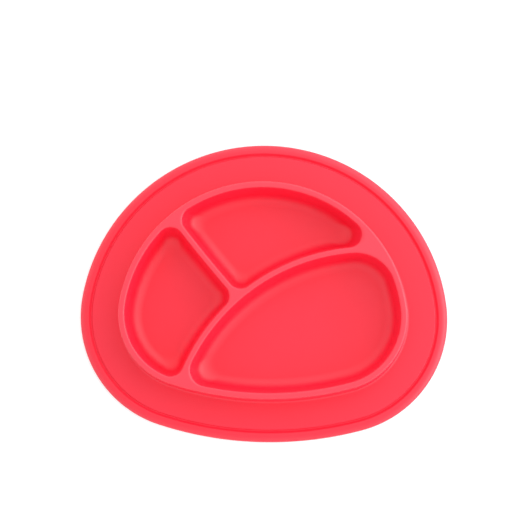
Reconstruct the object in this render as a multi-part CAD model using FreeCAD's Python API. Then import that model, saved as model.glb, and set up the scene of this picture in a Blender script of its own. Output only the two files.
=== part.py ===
import FreeCAD, Part
import math
import os

# Divided suction plate for a small child: one moulding of silicone rubber.
# Millimetres. +X runs to the right across the longest side, +Y to the back, +Z up.
# The origin is on the table, at the middle of the plate's length and depth.

# Outline of the flange: back, side and front arcs, each tangent to the next.
# The bearings where they meet are in degrees, clockwise from +Y.
plate_width = 270.0
side_radius = 84.3
back_arc_end = 81.4
side_arc_end = 163.7

# Flange: its edge falls away in one long round, and a groove runs round it inside that
flange_top = 3.0
edge_top = 3.3
edge_round_width = 5.4
groove_start = 6.3
groove_floor_start = 7.6
groove_floor_end = 8.1
groove_end = 9.4
groove_floor = 2.2

# Suction underside: a flat sealing band, then a shallow hollow
seal_band = 12.0
hollow_height = 1.0
hollow_slope = 4.0

# Tray with the compartments. The rim's edges are rounded, and its width is measured
# between the corners that the rounding takes off.
plate_height = 25.0
flange_width = 30.9
tray_draft = 2.5
tray_foot_round = 2.0
rim_width = 4.4
rim_edge_round = 1.0

# Dividers between the compartments, level with the rim, each along one arc that is given
# by its middle point, the bearing of the arc's outer side there and its radius
divider_width = 4.0
long_divider_middle = (2.8, 9.1)
long_divider_bearing = -32.0
long_divider_radius = 143.1
short_divider_middle = (-42.0, 20.9)
short_divider_bearing = 229.1
short_divider_radius = 1042.0

# Compartments. Their corners tighten to a share of their radius at the floor, and the
# roundings at mouth and floor are each made of a few straight strips.
compartment_floor = 3.5
wall_draft = 11.0
floor_round = 9.0
corner_radius = 9.5
front_corner_radius = 12.0
wide_corner_radius = 29.0
corner_shrink = 0.8
mouth_steps = 2
floor_steps = 5


def polar(centre, radius, bearing):
    """Point at a bearing in radians, measured clockwise from +Y."""
    return (centre[0] + radius * math.sin(bearing), centre[1] + radius * math.cos(bearing))


def lift(point, z):
    """Plan point as a vector at height z."""
    return FreeCAD.Vector(point[0], point[1], z)


def outline_arcs():
    """Arcs of the flange's edge as (centre, radius, first bearing, last bearing), clockwise."""
    a = math.radians(back_arc_end)
    b = math.radians(side_arc_end)
    back_radius = (plate_width / 2 - side_radius * (1 - math.sin(a))) / math.sin(a)
    side_x = plate_width / 2 - side_radius
    front_radius = side_radius + side_x / math.sin(b)
    side_rise = (back_radius - side_radius) * math.cos(a)
    front_rise = side_rise - (front_radius - side_radius) * math.cos(b)
    back_y = -(back_radius + front_rise - front_radius) / 2
    turn = 2 * math.pi
    return [
        ((0.0, back_y), back_radius, -a, a),
        ((side_x, back_y + side_rise), side_radius, a, b),
        ((0.0, back_y + front_rise), front_radius, b, turn - b),
        ((-side_x, back_y + side_rise), side_radius, turn - b, turn - a),
    ]


def outline_face(inset, z):
    """Flat face inside the outline, moved in by inset."""
    edges = []
    for centre, radius, start, end in outline_arcs():
        points = [polar(centre, radius - inset, t) for t in (start, (start + end) / 2, end)]
        edges.append(Part.Arc(*[lift(p, z) for p in points]).toShape())
    return Part.Face(Part.Wire(edges))


def core_inset():
    """Inset where the moulded section ends and the solid middle begins, under the rim."""
    return flange_width + rim_width / 2


def moulded_profile():
    """Section of the edge, flange and tray wall as (inset, z) ends and arc midpoints."""
    edge_radius = (edge_round_width ** 2 + edge_top ** 2) / (2 * edge_top)
    edge_turn = math.asin(edge_round_width / edge_radius)
    edge_centre = (edge_round_width, edge_top - edge_radius)
    edge_mid = polar(edge_centre, edge_radius, -edge_turn / 2)
    edge_end = (edge_round_width, edge_top)
    draft = math.radians(tray_draft)
    half_turn = (math.pi / 2 - draft) / 2
    foot = flange_width - (plate_height - flange_top) * math.tan(draft)
    foot_centre = (foot - tray_foot_round * math.tan(half_turn), flange_top + tray_foot_round)
    foot_start = (foot_centre[0], flange_top)
    foot_mid = polar(foot_centre, tray_foot_round, math.pi - half_turn)
    foot_end = polar(foot_centre, tray_foot_round, math.pi / 2 + draft)
    rim_centre = (flange_width + rim_edge_round * math.tan(half_turn), plate_height - rim_edge_round)
    rim_start = polar(rim_centre, rim_edge_round, draft - math.pi / 2)
    rim_mid = polar(rim_centre, rim_edge_round, -half_turn)
    rim_end = (rim_centre[0], plate_height)
    corners = [
        edge_end,
        (groove_start, edge_top),
        (groove_floor_start, groove_floor),
        (groove_floor_end, groove_floor),
        (groove_end, flange_top),
        foot_start,
    ]
    closing = [
        rim_end,
        (core_inset(), plate_height),
        (core_inset(), hollow_height),
        (seal_band + hollow_slope, hollow_height),
        (seal_band, 0.0),
        (0.0, 0.0),
    ]
    profile = [((0.0, 0.0), edge_mid, edge_end)]
    profile += [(first, None, last) for first, last in zip(corners, corners[1:])]
    profile += [(foot_start, foot_mid, foot_end), (foot_end, None, rim_start)]
    profile += [(rim_start, rim_mid, rim_end)]
    profile += [(first, None, last) for first, last in zip(closing, closing[1:])]
    return profile


def profile_face(centre, radius, bearing):
    """The moulded section as a face standing square to the outline at a bearing."""
    edges = []
    for first, middle, last in moulded_profile():
        ends = [lift(polar(centre, radius - p[0], bearing), p[1]) for p in (first, last)]
        if middle is None:
            edges.append(Part.makeLine(*ends))
        else:
            through = lift(polar(centre, radius - middle[0], bearing), middle[1])
            edges.append(Part.Arc(ends[0], through, ends[1]).toShape())
    return Part.Face(Part.Wire(edges))


def moulded_body():
    """The section turned round every arc of the outline, and the middle filled solid."""
    up = FreeCAD.Vector(0, 0, 1)
    pieces = []
    for centre, radius, start, end in outline_arcs():
        face = profile_face(centre, radius, start)
        pieces.append(face.revolve(lift(centre, 0), up, -math.degrees(end - start)))
    core = outline_face(core_inset(), hollow_height).extrude(up * (plate_height - hollow_height))
    return core.fuse(pieces).removeSplitter()


def meet(first, second, offset, side):
    """Centre of a circle held at an offset inside two signed circles, on the given side."""
    (ax, ay), ar = first
    (bx, by), br = second
    ra = ar - offset
    rb = br - offset
    gap = math.hypot(bx - ax, by - ay)
    along = (ra ** 2 - rb ** 2 + gap ** 2) / (2 * gap)
    across = side * math.sqrt(ra ** 2 - along ** 2)
    ux = (bx - ax) / gap
    uy = (by - ay) / gap
    return (ax + along * ux - across * uy, ay + along * uy + across * ux)


def towards(centre, point, radius):
    """Point on a circle, seen from its centre in the direction of another point."""
    dx = point[0] - centre[0]
    dy = point[1] - centre[1]
    scale = radius / math.hypot(dx, dy)
    return (centre[0] + dx * scale, centre[1] + dy * scale)


def arc_between(centre, start, end, z):
    """Shorter arc about a centre from start to end."""
    radius = math.hypot(start[0] - centre[0], start[1] - centre[1])
    middle = ((start[0] + end[0]) / 2, (start[1] + end[1]) / 2)
    through = towards(centre, middle, radius)
    return Part.Arc(lift(start, z), lift(through, z), lift(end, z)).toShape()


def compartment_section(sides, inset, z):
    """Closed wire inside the sides, moved in by inset.

    Each side is (centre, signed radius, corner radius to the next side, corner side). A
    negative radius means the compartment is outside that circle. A corner radius of None
    means that the next side carries on tangent to this one.
    """
    joints = []
    for k, (centre, radius, corner, side) in enumerate(sides):
        after, after_radius = sides[(k + 1) % len(sides)][:2]
        if corner is None:
            sign = math.copysign(1, radius - after_radius)
            point = towards(centre, after, sign * (radius - inset))
            joints.append((point, point, None))
            continue
        depth_share = inset / floor_inset()
        size = corner * (1 - (1 - corner_shrink) * depth_share)
        middle = meet((centre, radius), (after, after_radius), inset + size, side)
        leave = towards(centre, middle, abs(radius - inset))
        enter = towards(after, middle, abs(after_radius - inset))
        joints.append((leave, enter, middle))
    edges = []
    for k, (centre, radius, corner, side) in enumerate(sides):
        edges.append(arc_between(centre, joints[k - 1][1], joints[k][0], z))
        leave, enter, middle = joints[k]
        if middle is not None:
            edges.append(arc_between(middle, leave, enter, z))
    return Part.Wire(edges)


def wall_reach():
    """Inset of the wall's lower end, where the floor's rounding begins, and its height."""
    draft = math.radians(wall_draft)
    z = compartment_floor + floor_round * (1 - math.sin(draft))
    return (plate_height - z) * math.tan(draft), z


def floor_inset():
    """Inset at which the rounding runs out into the flat floor."""
    return wall_reach()[0] + floor_round * math.cos(math.radians(wall_draft))


def compartment_levels():
    """The wall's section as (inset, z) points: rounded mouth, drafted wall, rounded floor."""
    draft = math.radians(wall_draft)
    turn = math.pi / 2 - draft
    mouth_inset = -rim_edge_round * math.tan(turn / 2)
    levels = [(mouth_inset, plate_height + rim_edge_round)]
    for k in range(mouth_steps + 1):
        centre = (mouth_inset, plate_height - rim_edge_round)
        levels.append(polar(centre, rim_edge_round, turn * k / mouth_steps))
    for k in range(floor_steps + 1):
        centre = (floor_inset(), compartment_floor + floor_round)
        levels.append(polar(centre, floor_round, -math.pi / 2 - draft - turn * k / floor_steps))
    return levels


def compartment(sides):
    """Solid that fills one compartment, lofted down its mouth, wall and floor rounding."""
    wires = [compartment_section(sides, inset, z) for inset, z in compartment_levels()]
    return Part.makeLoft(wires, True, True)


def compartments():
    """The three compartments: back, left and the wide front one."""
    inner = flange_width + rim_width
    back, right, front, left = [(c, r - inner) for c, r, s, e in outline_arcs()]
    half = divider_width / 2
    long_bearing = math.radians(long_divider_bearing)
    short_bearing = math.radians(short_divider_bearing)
    long_centre = polar(long_divider_middle, -long_divider_radius, long_bearing)
    short_centre = polar(short_divider_middle, -short_divider_radius, short_bearing)
    above_long = (long_centre, -(long_divider_radius + half))
    below_long = (long_centre, long_divider_radius - half)
    right_of_short = (short_centre, short_divider_radius - half)
    left_of_short = (short_centre, -(short_divider_radius + half))
    back_one = [
        (*back, corner_radius, 1),
        (*above_long, corner_radius, 1),
        (*right_of_short, corner_radius, -1),
    ]
    left_one = [
        (*back, corner_radius, 1),
        (*left_of_short, corner_radius, -1),
        (*above_long, corner_radius, 1),
        (*left, None, 1),
    ]
    front_one = [
        (*back, None, 1),
        (*right, None, 1),
        (*front, front_corner_radius, -1),
        (*below_long, wide_corner_radius, -1),
    ]
    return [compartment(sides) for sides in (back_one, left_one, front_one)]


def suction_plate():
    """The whole moulding."""
    return moulded_body().cut(compartments())


os.makedirs("parts", exist_ok=True)
plate = suction_plate()
plate.exportStep("parts/plate.step")
print("volume cm3", round(plate.Volume / 1000, 1), "solids", len(plate.Solids), "valid", plate.isValid())
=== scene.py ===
import math

import bpy
from mathutils import Matrix, Vector


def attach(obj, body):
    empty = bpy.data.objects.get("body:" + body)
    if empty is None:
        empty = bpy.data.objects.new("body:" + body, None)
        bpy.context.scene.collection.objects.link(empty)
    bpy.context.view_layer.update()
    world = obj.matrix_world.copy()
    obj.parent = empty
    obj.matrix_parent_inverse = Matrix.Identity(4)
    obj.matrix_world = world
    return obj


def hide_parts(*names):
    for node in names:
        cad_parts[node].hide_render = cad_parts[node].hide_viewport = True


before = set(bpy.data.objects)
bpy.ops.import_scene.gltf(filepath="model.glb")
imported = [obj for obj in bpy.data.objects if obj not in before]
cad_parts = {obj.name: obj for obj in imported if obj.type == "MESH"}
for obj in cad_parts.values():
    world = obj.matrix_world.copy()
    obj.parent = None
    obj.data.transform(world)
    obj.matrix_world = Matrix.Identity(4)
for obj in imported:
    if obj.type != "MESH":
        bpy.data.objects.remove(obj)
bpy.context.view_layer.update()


# The plate is one compression moulding of platinum-cured silicone rubber, pigmented coral
# red right through. Its edge, flange, tray wall and sealing band are one section, which
# runs all the way round the outline.
plate_width = 0.270
side_radius = 0.0843
back_arc_end = math.radians(81.4)
side_arc_end = math.radians(163.7)
plate_height = 0.025
flange_top = 0.003
flange_width = 0.0309
edge_top = 0.0033
edge_slope = math.radians(62.9)
edge_crown_round = 0.0055
groove_start = 0.0065
groove_floor_start = 0.0081
groove_floor_end = 0.0085
groove_end = 0.0093
groove_floor = 0.0020
groove_shoulder_round = 0.0007
groove_floor_round = 0.0003
groove_end_round = 0.0005
tray_draft = math.radians(2.5)
tray_foot_round = 0.0020
rim_edge_round = 0.0014
seal_band = 0.0120
seal_band_round = 0.0030
hollow_slope = 0.0040
hollow_height = 0.001
lower_edge_round = 0.0002
section_turn_per_point = math.radians(7.5)

edge_crown = edge_top / math.tan(edge_slope)
tray_foot = flange_width - (plate_height - flange_top) * math.tan(tray_draft)
rim_flat_start = flange_width + rim_edge_round * math.tan((math.pi / 2 - tray_draft) / 2)


def rounded(corners, turn_per_point):
    """Polyline through (across, z, radius) corners, each rounded with an arc of its radius."""
    points = [Vector(corners[0][:2])]
    for before, corner, after in zip(corners, corners[1:], corners[2:]):
        tip = Vector(corner[:2])
        arriving = (tip - Vector(before[:2])).normalized()
        leaving = (Vector(after[:2]) - tip).normalized()
        bend = arriving.angle_signed(leaving)
        reach = corner[2] * math.tan(abs(bend) / 2)
        start = tip - arriving * reach
        centre = start + arriving.orthogonal() * math.copysign(corner[2], -bend)
        count = max(1, math.ceil(abs(bend) / turn_per_point))
        for k in range(count + 1):
            points.append(centre + Matrix.Rotation(-bend * k / count, 2) @ (start - centre))
    points.append(Vector(corners[-1][:2]))
    return points


def outline_arcs():
    """The outline's arcs by name, as (centre, radius, first and last bearing), clockwise."""
    a = back_arc_end
    b = side_arc_end
    back_radius = (plate_width / 2 - side_radius * (1 - math.sin(a))) / math.sin(a)
    side_x = plate_width / 2 - side_radius
    front_radius = side_radius + side_x / math.sin(b)
    side_rise = (back_radius - side_radius) * math.cos(a)
    front_rise = side_rise - (front_radius - side_radius) * math.cos(b)
    back_y = -(back_radius + front_rise - front_radius) / 2
    side_y = back_y + side_rise
    front_y = back_y + front_rise
    return {
        "Back": (Vector((0.0, back_y)), back_radius, -a, a),
        "Right": (Vector((side_x, side_y)), side_radius, a, b),
        "Front": (Vector((0.0, front_y)), front_radius, b, math.tau - b),
        "Left": (Vector((-side_x, side_y)), side_radius, math.tau - b, math.tau - a),
    }


# The last corner is left out of the points: it only turns the rim's rounding level.
section_corners = [
    (seal_band + hollow_slope, hollow_height, 0.0),
    (seal_band, 0.0, seal_band_round),
    (0.0, 0.0, lower_edge_round),
    (edge_crown, edge_top, edge_crown_round),
    (groove_start, edge_top, groove_shoulder_round),
    (groove_floor_start, groove_floor, groove_floor_round),
    (groove_floor_end, groove_floor, groove_floor_round),
    (groove_end, flange_top, groove_end_round),
    (tray_foot, flange_top, tray_foot_round),
    (flange_width, plate_height, rim_edge_round),
    (rim_flat_start, plate_height, 0.0),
]
section_points = rounded(section_corners, section_turn_per_point)[:-1]
section_edges = [(k, k + 1) for k in range(len(section_points) - 1)]
section_mesh = bpy.data.meshes.new("moulded_section")
section_mesh.from_pydata([(x, z, 0.0) for x, z in section_points], section_edges, [])
section = bpy.data.objects.new("moulded_section", section_mesh)


# Three compartments are sunk into the tray. The mould's cores have a draft, rounded
# corners and a wide rounding at the floor, so that food scoops and washes out easily.
# Each divider runs along one arc, given by its middle, the bearing there and its radius.
long_divider_middle = (0.0028, 0.0091)
long_divider_bearing = math.radians(-32.0)
long_divider_radius = 0.1431
short_divider_middle = (-0.0420, 0.0209)
short_divider_bearing = math.radians(229.1)
short_divider_radius = 1.042
divider_width = 0.0040
rim_width = 0.0044
corner_radius = 0.0095
front_corner_radius = 0.0120
wide_corner_radius = 0.0290
corner_shrink = 0.8
wall_draft = math.radians(11.0)
floor_round = 0.0090
compartment_floor = 0.0035
points_per_side = 40
points_per_corner = 16
wall_turn_per_point = math.radians(6.0)

half_wall_turn = (math.pi / 2 - wall_draft) / 2
mouth_reach = rim_edge_round * math.tan(half_wall_turn)
floor_corner = (plate_height - compartment_floor) * math.tan(wall_draft)
floor_reach = floor_corner + floor_round * math.tan(half_wall_turn)

# The first and last corners are left out: the roundings already start and end on them.
wall_corners = [
    (-mouth_reach, plate_height, 0.0),
    (0.0, plate_height, rim_edge_round),
    (floor_corner, compartment_floor, floor_round),
    (floor_reach, compartment_floor, 0.0),
]
wall_points = rounded(wall_corners, wall_turn_per_point)[1:-1]


def polar(centre, radius, bearing):
    """Point at a bearing in radians, measured clockwise from +Y."""
    x = centre[0] + radius * math.sin(bearing)
    y = centre[1] + radius * math.cos(bearing)
    return Vector((x, y))


def meet(first, second, offset, side):
    """Centre of a circle held at an offset inside two signed circles, on the given side."""
    between = second[0] - first[0]
    gap = between.length
    near = first[1] - offset
    along = (near ** 2 - (second[1] - offset) ** 2 + gap ** 2) / (2 * gap)
    across = side * math.sqrt(near ** 2 - along ** 2)
    unit = between / gap
    return first[0] + along * unit + across * Vector((-unit.y, unit.x))


def arc_points(centre, start, end, count):
    """Points along the shorter arc about a centre, from start up to but not at end."""
    spoke = start - centre
    turn = spoke.angle_signed(end - centre)
    return [centre + Matrix.Rotation(-turn * k / count, 2) @ spoke for k in range(count)]


def compartment_ring(sides, inset):
    """Closed ring of points inside the sides, moved in by inset.

    Each side is (centre, signed radius, corner radius to the next side, corner side). A
    negative radius means the compartment is outside that circle. A corner radius of None
    means that the next side carries on tangent to this one.
    """
    joints = []
    for k, (centre, radius, corner, side) in enumerate(sides):
        after, after_radius = sides[(k + 1) % len(sides)][:2]
        if corner is None:
            sign = math.copysign(1, radius - after_radius)
            point = centre + (after - centre).normalized() * sign * (radius - inset)
            joints.append((point, point, None))
            continue
        size = corner * (1 - (1 - corner_shrink) * inset / floor_reach)
        middle = meet((centre, radius), (after, after_radius), inset + size, side)
        leave = centre + (middle - centre).normalized() * abs(radius - inset)
        enter = after + (middle - after).normalized() * abs(after_radius - inset)
        joints.append((leave, enter, middle))
    ring = []
    for k, (centre, radius, corner, side) in enumerate(sides):
        leave, enter, middle = joints[k]
        ring += arc_points(centre, joints[k - 1][1], leave, points_per_side)
        if middle is not None:
            ring += arc_points(middle, leave, enter, points_per_corner)
    return ring


def compartment_sides():
    """Sides of the three compartments: back, left and the wide front one."""
    inner = flange_width + rim_width
    arcs = outline_arcs().values()
    back, right, front, left = [(centre, radius - inner) for centre, radius, *ends in arcs]
    half = divider_width / 2
    long_centre = polar(long_divider_middle, -long_divider_radius, long_divider_bearing)
    short_centre = polar(short_divider_middle, -short_divider_radius, short_divider_bearing)
    above_long = (long_centre, -(long_divider_radius + half))
    below_long = (long_centre, long_divider_radius - half)
    right_of_short = (short_centre, short_divider_radius - half)
    left_of_short = (short_centre, -(short_divider_radius + half))
    return [
        [
            (*back, corner_radius, 1),
            (*above_long, corner_radius, 1),
            (*right_of_short, corner_radius, -1),
        ],
        [
            (*back, corner_radius, 1),
            (*left_of_short, corner_radius, -1),
            (*above_long, corner_radius, 1),
            (*left, None, 1),
        ],
        [
            (*back, None, 1),
            (*right, None, 1),
            (*front, front_corner_radius, -1),
            (*below_long, wide_corner_radius, -1),
        ],
    ]


compartment_points = []
compartment_faces = []
for sides in compartment_sides():
    for level, (inset, z) in enumerate(wall_points):
        ring = compartment_ring(sides, inset)
        count = len(ring)
        below = len(compartment_points)
        above = below - count
        if level:
            for k in range(count):
                after = (k + 1) % count
                compartment_faces.append((above + k, below + k, below + after, above + after))
        compartment_points += [(p.x, p.y, z) for p in ring]
compartment_mesh = bpy.data.meshes.new("compartment_walls")
compartment_mesh.from_pydata(compartment_points, [], compartment_faces)
compartment_walls = bpy.data.objects.new("compartment_walls", compartment_mesh)


# All of this leaves the mould as one solid. Flats close it: the rim between the mouths, a
# floor in each compartment and the shallow roof of the suction hollow. The rubber is matte
# from the mould's blasted faces.
outline_step = 0.0018
weld_distance = 0.000002
flat_face_weight = 90
rim_sheen_depth = 0.0012
deep_coral = (0.93, 0.003, 0.034, 1.0)
light_coral = (0.96, 0.006, 0.040, 1.0)
# The paler, pinker coral painted on the rim's top is a painted sheen.
rim_sheen_coral = (0.96, 0.028, 0.062, 1.0)
least_roughness = 0.44
handling_marks = 0.08
grain_marks = 0.04


class Field:
    """A value in a node tree. Arithmetic on it adds Math nodes."""

    def __init__(self, tree, socket=None):
        self.tree = tree
        self.socket = socket

    def node(self, kind, settings, inputs, output=0):
        """Add a node, apply its settings, fill its inputs and return one of its outputs."""
        made = self.tree.nodes.new(kind)
        for name, value in settings.items():
            setattr(made, name, value)
        for key, value in inputs.items():
            for one in value if isinstance(value, list) else [value]:
                if isinstance(one, Field):
                    self.tree.links.new(one.socket, made.inputs[key])
                else:
                    made.inputs[key].default_value = one
        return Field(self.tree, made.outputs[output] if made.outputs else None)

    def math(self, operation, *values):
        """Add a Math node on some values."""
        return self.node("ShaderNodeMath", {"operation": operation}, dict(enumerate(values)))

    def __add__(self, other):
        return self.math("ADD", self, other)

    def __radd__(self, other):
        return self.math("ADD", other, self)

    def __sub__(self, other):
        return self.math("SUBTRACT", self, other)

    def __rsub__(self, other):
        return self.math("SUBTRACT", other, self)

    def __mul__(self, other):
        return self.math("MULTIPLY", self, other)

    def __rmul__(self, other):
        return self.math("MULTIPLY", other, self)

    def __truediv__(self, other):
        return self.math("DIVIDE", self, other)


def moulding_tree():
    """Geometry nodes that run the section round the outline and close it with its flats."""
    tree = bpy.data.node_groups.new("moulding", "GeometryNodeTree")
    tree.interface.new_socket("Geometry", in_out="OUTPUT", socket_type="NodeSocketGeometry")
    sockets = [
        ("Section", "NodeSocketObject"),
        ("Compartments", "NodeSocketObject"),
        ("Silicone", "NodeSocketMaterial"),
        ("Outline Step", "NodeSocketFloat"),
        ("Rim Height", "NodeSocketFloat"),
        ("Floor Height", "NodeSocketFloat"),
        ("Hollow Height", "NodeSocketFloat"),
        ("Weld Distance", "NodeSocketFloat"),
    ]
    for name in outline_arcs():
        sockets += [(name + " Centre", "NodeSocketVector"), (name + " Radius", "NodeSocketFloat")]
        sockets += [(name + " Start", "NodeSocketFloat"), (name + " Sweep", "NodeSocketFloat")]
    for name, kind in sockets:
        tree.interface.new_socket(name, in_out="INPUT", socket_type=kind)
    field = Field(tree)
    entry = tree.nodes.new("NodeGroupInput")
    given = {name: Field(tree, entry.outputs[name]) for name, kind in sockets}
    weld = {"Distance": given["Weld Distance"]}

    arcs = []
    for name in outline_arcs():
        radius = given[name + " Radius"]
        sweep = given[name + " Sweep"]
        sizes = {
            "Resolution": radius * sweep / given["Outline Step"],
            "Radius": radius,
            "Start Angle": given[name + " Start"],
            "Sweep Angle": sweep,
        }
        arc = field.node("GeometryNodeCurveArc", {"mode": "RADIUS"}, sizes)
        place = {"Geometry": arc, "Translation": given[name + " Centre"]}
        arcs.append(field.node("GeometryNodeTransform", {}, place))
    line = field.node("GeometryNodeJoinGeometry", {}, {"Geometry": arcs})
    line = field.node("GeometryNodeCurveToMesh", {}, {"Curve": line})
    line = field.node("GeometryNodeMergeByDistance", {}, {"Geometry": line, **weld})
    line = field.node("GeometryNodeMeshToCurve", {}, {"Mesh": line})
    outline = field.node("GeometryNodeSetCurveNormal", {"mode": "Z_UP"}, {"Curve": line})

    # Along this line the section comes out upside down, so it is turned half round first,
    # which leaves its faces pointing in, so they are flipped.
    profile = field.node("GeometryNodeObjectInfo", {}, {"Object": given["Section"]}, "Geometry")
    profile = field.node("GeometryNodeMeshToCurve", {}, {"Mesh": profile})
    half_turn = {"Geometry": profile, "Rotation": (0.0, 0.0, math.pi)}
    profile = field.node("GeometryNodeTransform", {}, half_turn)
    run = {"Curve": outline, "Profile Curve": profile}
    shell = field.node("GeometryNodeCurveToMesh", {}, run)
    shell = field.node("GeometryNodeFlipFaces", {}, {"Mesh": shell})
    cores = {"Object": given["Compartments"]}
    walls = field.node("GeometryNodeObjectInfo", {}, cores, "Geometry")

    def flat(open_shell, level):
        """Flat face that fills a shell's open loops at one level."""
        position = field.node("GeometryNodeInputPosition", {}, {})
        z = field.node("ShaderNodeSeparateXYZ", {}, {"Vector": position}, "Z")
        level_test = {"A": z, "B": level, "Epsilon": given["Weld Distance"]}
        at_level = field.node("FunctionNodeCompare", {"operation": "EQUAL"}, level_test)
        faces = field.node("GeometryNodeInputMeshEdgeNeighbors", {}, {})
        open_test = {"A": faces, "B": 1.0}
        open_edge = field.node("FunctionNodeCompare", {"operation": "EQUAL"}, open_test)
        chosen = field.node("FunctionNodeBooleanMath", {}, {0: at_level, 1: open_edge})
        border = {"Mesh": open_shell, "Selection": chosen}
        loops = field.node("GeometryNodeMeshToCurve", {}, border)
        face = field.node("GeometryNodeFillCurve", {}, {"Curve": loops})
        height = field.node("ShaderNodeCombineXYZ", {}, {"Z": level})
        return field.node("GeometryNodeTransform", {}, {"Geometry": face, "Translation": height})

    both = field.node("GeometryNodeJoinGeometry", {}, {"Geometry": [shell, walls]})
    rim = flat(both, given["Rim Height"])
    floors = flat(walls, given["Floor Height"])
    roof = field.node("GeometryNodeFlipFaces", {}, {"Mesh": flat(shell, given["Hollow Height"])})
    whole = field.node("GeometryNodeJoinGeometry", {}, {"Geometry": [both, rim, floors, roof]})
    whole = field.node("GeometryNodeMergeByDistance", {}, {"Geometry": whole, **weld})
    whole = field.node("GeometryNodeSetShadeSmooth", {}, {"Geometry": whole})
    whole = field.node("GeometryNodeRealizeInstances", {}, {"Geometry": whole})
    finish = {"Geometry": whole, "Material": given["Silicone"]}
    whole = field.node("GeometryNodeSetMaterial", {}, finish)
    field.node("NodeGroupOutput", {}, {"Geometry": whole})
    return tree


def silicone():
    """Matte coral silicone with a fine grain, the top of its rim painted paler as a painted
    sheen.
    """
    material = bpy.data.materials.new("coral_silicone")
    material.use_nodes = True
    tree = material.node_tree
    tree.nodes.clear()
    field = Field(tree)
    place = field.node("ShaderNodeTexCoord", {}, {}, "Object")

    def noise(per_metre, detail):
        scale = {"Vector": place, "Scale": per_metre, "Detail": detail}
        return field.node("ShaderNodeTexNoise", {}, scale, "Fac")

    cloud = noise(per_metre=35.0, detail=2.0)
    handled = noise(per_metre=90.0, detail=3.0)
    grain = noise(per_metre=1400.0, detail=2.0)
    pigments = {"Factor": cloud, 6: deep_coral, 7: light_coral}
    pigment = field.node("ShaderNodeMix", {"data_type": "RGBA"}, pigments, 2)
    height = field.node("ShaderNodeSeparateXYZ", {}, {"Vector": place}, "Z")
    # Towards the top of the rim the colour fades to the paler coral: a painted sheen.
    near_top = {"Value": height, "From Min": plate_height - rim_sheen_depth, "From Max": plate_height}
    rim_sheen = field.node("ShaderNodeMapRange", {"interpolation_type": "SMOOTHSTEP"}, near_top)
    colours = {"Factor": rim_sheen, 6: pigment, 7: rim_sheen_coral}
    colour = field.node("ShaderNodeMix", {"data_type": "RGBA"}, colours, 2)
    roughness = least_roughness + handling_marks * handled + grain_marks * (grain - 0.5)
    relief = {"Strength": 0.25, "Distance": 0.0001, "Height": grain}
    bump = field.node("ShaderNodeBump", {}, relief)
    finish = {"Base Color": colour, "Roughness": roughness, "Normal": bump, "IOR": 1.68}
    skin = field.node("ShaderNodeBsdfPrincipled", {}, finish)
    field.node("ShaderNodeOutputMaterial", {}, {"Surface": skin})
    return material


moulding_inputs = {
    "Section": section,
    "Compartments": compartment_walls,
    "Silicone": silicone(),
    "Outline Step": outline_step,
    "Rim Height": plate_height,
    "Floor Height": compartment_floor,
    "Hollow Height": hollow_height,
    "Weld Distance": weld_distance,
}
for name, (centre, radius, start, end) in outline_arcs().items():
    moulding_inputs[name + " Centre"] = (centre.x, centre.y, 0.0)
    moulding_inputs[name + " Radius"] = radius
    moulding_inputs[name + " Start"] = math.pi / 2 - end
    moulding_inputs[name + " Sweep"] = end - start

maker = bpy.data.objects.new("moulding_maker", bpy.data.meshes.new("moulding_maker"))
bpy.context.scene.collection.objects.link(maker)
moulding = maker.modifiers.new("moulding", "NODES")
moulding.node_group = moulding_tree()
for item in moulding.node_group.interface.items_tree:
    if item.in_out == "INPUT":
        moulding[item.identifier] = moulding_inputs[item.name]
smoothing = maker.modifiers.new("smoothing", "WEIGHTED_NORMAL")
smoothing.weight = flat_face_weight
evaluated = maker.evaluated_get(bpy.context.evaluated_depsgraph_get())

# The plain mesh takes over the maker's empty material slot ahead of the silicone's own.
plate_mesh = bpy.data.meshes.new_from_object(evaluated)
plate_mesh.name = "suction_plate"
plate_mesh.materials.pop(index=0)
suction_plate = bpy.data.objects.new("suction_plate", plate_mesh)
bpy.context.scene.collection.objects.link(suction_plate)
for helper in (maker, section, compartment_walls):
    bpy.data.objects.remove(helper)
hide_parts("plate")
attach(suction_plate, "root")


# A plain white table under the plate and a soft white surround. Both show as white where
# they are seen directly, mirrored or through glass, and the table keeps the shadow.
table_half = 3.0
table_drop = 0.0002
paper_colour = (0.90, 0.90, 0.90, 1.0)
seen_paper_colour = (0.96, 0.96, 0.96, 1.0)
white = (1.0, 1.0, 1.0, 1.0)
seen_paper_glow = 0.12
zenith_light = 0.40
side_light = 1.15
brighter_right = 0.25
brighter_back = 0.20


def background_rays(field):
    """One for a ray that shows the background: seen directly, mirrored or through glass."""
    seen = field.node("ShaderNodeLightPath", {}, {}, "Is Camera Ray")
    mirrored = field.node("ShaderNodeLightPath", {}, {}, "Is Glossy Ray")
    through = field.node("ShaderNodeLightPath", {}, {}, "Is Transmission Ray")
    return field.math("MINIMUM", seen + mirrored + through, 1.0)


def white_table():
    """White matte paper, lifted to full white where it shows as the background."""
    material = bpy.data.materials.new("white_table")
    material.use_nodes = True
    tree = material.node_tree
    tree.nodes.clear()
    field = Field(tree)
    paper = field.node("ShaderNodeBsdfDiffuse", {}, {"Color": paper_colour})
    seen_paper = field.node("ShaderNodeBsdfDiffuse", {}, {"Color": seen_paper_colour})
    lift = {"Color": white, "Strength": seen_paper_glow}
    glow = field.node("ShaderNodeEmission", {}, lift)
    lifted = field.node("ShaderNodeAddShader", {}, {0: seen_paper, 1: glow})
    choice = {0: background_rays(field), 1: paper, 2: lifted}
    shown = field.node("ShaderNodeMixShader", {}, choice)
    field.node("ShaderNodeOutputMaterial", {}, {"Surface": shown})
    return material


table_outline = [
    (-table_half, -table_half, -table_drop),
    (table_half, -table_half, -table_drop),
    (table_half, table_half, -table_drop),
    (-table_half, table_half, -table_drop),
]
table_mesh = bpy.data.meshes.new("table")
table_mesh.from_pydata(table_outline, [], [(0, 1, 2, 3)])
table_mesh.materials.append(white_table())
table = bpy.data.objects.new("table", table_mesh)
bpy.context.scene.collection.objects.link(table)

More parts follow.
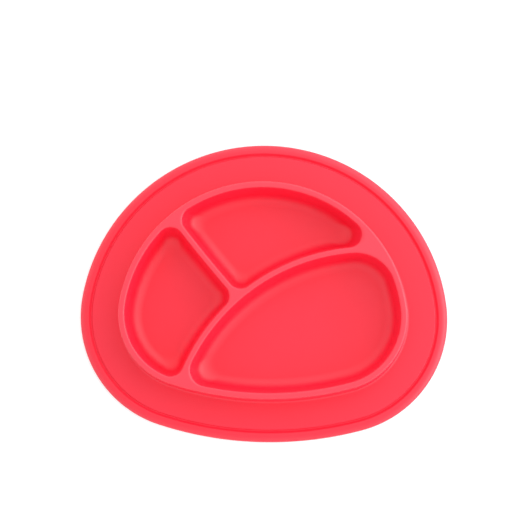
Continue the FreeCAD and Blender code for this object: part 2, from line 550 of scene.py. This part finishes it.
world = bpy.data.worlds.new("surround")
world.use_nodes = True
world.node_tree.nodes.clear()
surround = Field(world.node_tree)
toward = surround.node("ShaderNodeTexCoord", {}, {}, "Generated")
rightward = surround.node("ShaderNodeSeparateXYZ", {}, {"Vector": toward}, "X")
backward = surround.node("ShaderNodeSeparateXYZ", {}, {"Vector": toward}, "Y")
upward = surround.node("ShaderNodeSeparateXYZ", {}, {"Vector": toward}, "Z")

# The light grows towards the horizon, and most of all to the right and the back.
low = 1.0 - upward * upward
slant = 1.0 + brighter_right * rightward + brighter_back * backward
lit = zenith_light + side_light * low * slant
level = lit + (1.0 - lit) * background_rays(surround)
surround_light = surround.node("ShaderNodeBackground", {}, {"Color": white, "Strength": level})
surround.node("ShaderNodeOutputWorld", {}, {"Surface": surround_light})
bpy.context.scene.world = world
bpy.context.scene.view_settings.view_transform = "Standard"


# One large soft lamp stands at the right and back, and a low strip at the right picks out
# the outer edge and the rim.
def softbox(name, place, width, depth, power):
    """Rectangular studio lamp at a place, facing the plate's middle."""
    data = bpy.data.lights.new(name, "AREA")
    data.shape = "RECTANGLE"
    data.size = width
    data.size_y = depth
    data.energy = power
    lamp = bpy.data.objects.new(name, data)
    bpy.context.scene.collection.objects.link(lamp)
    lamp.location = place
    lamp.rotation_euler = (-Vector(place)).to_track_quat("-Z", "Y").to_euler()


softbox("key", place=(0.80, 0.55, 0.90), width=1.6, depth=1.6, power=6.0)
softbox("side", place=(1.10, -0.10, 0.32), width=1.4, depth=0.4, power=5.0)


# The camera looks almost straight down on the plate, a little from its front right, as a
# long lens sees it from about a metre away. The picture is turned slightly on its axis.
view_target = Vector((-0.0006, 0.0210, 0.0))
view_distance = 1.0833
view_lean = math.radians(6.49)
view_side = math.radians(16.76)
view_roll = math.radians(-15.21)

camera_data = bpy.data.cameras.new("camera")
camera_data.lens = 100.0
camera_data.sensor_width = 36.0
camera_data.clip_end = 20.0
camera = bpy.data.objects.new("camera", camera_data)
bpy.context.scene.collection.objects.link(camera)
turn = Matrix.Rotation(view_side, 4, "Z") @ Matrix.Rotation(view_lean, 4, "X")
back = turn @ Vector((0.0, 0.0, 1.0))
camera.matrix_world = (
    Matrix.Translation(view_target + back * view_distance)
    @ turn
    @ Matrix.Rotation(view_roll, 4, "Z")
)
bpy.context.scene.camera = camera
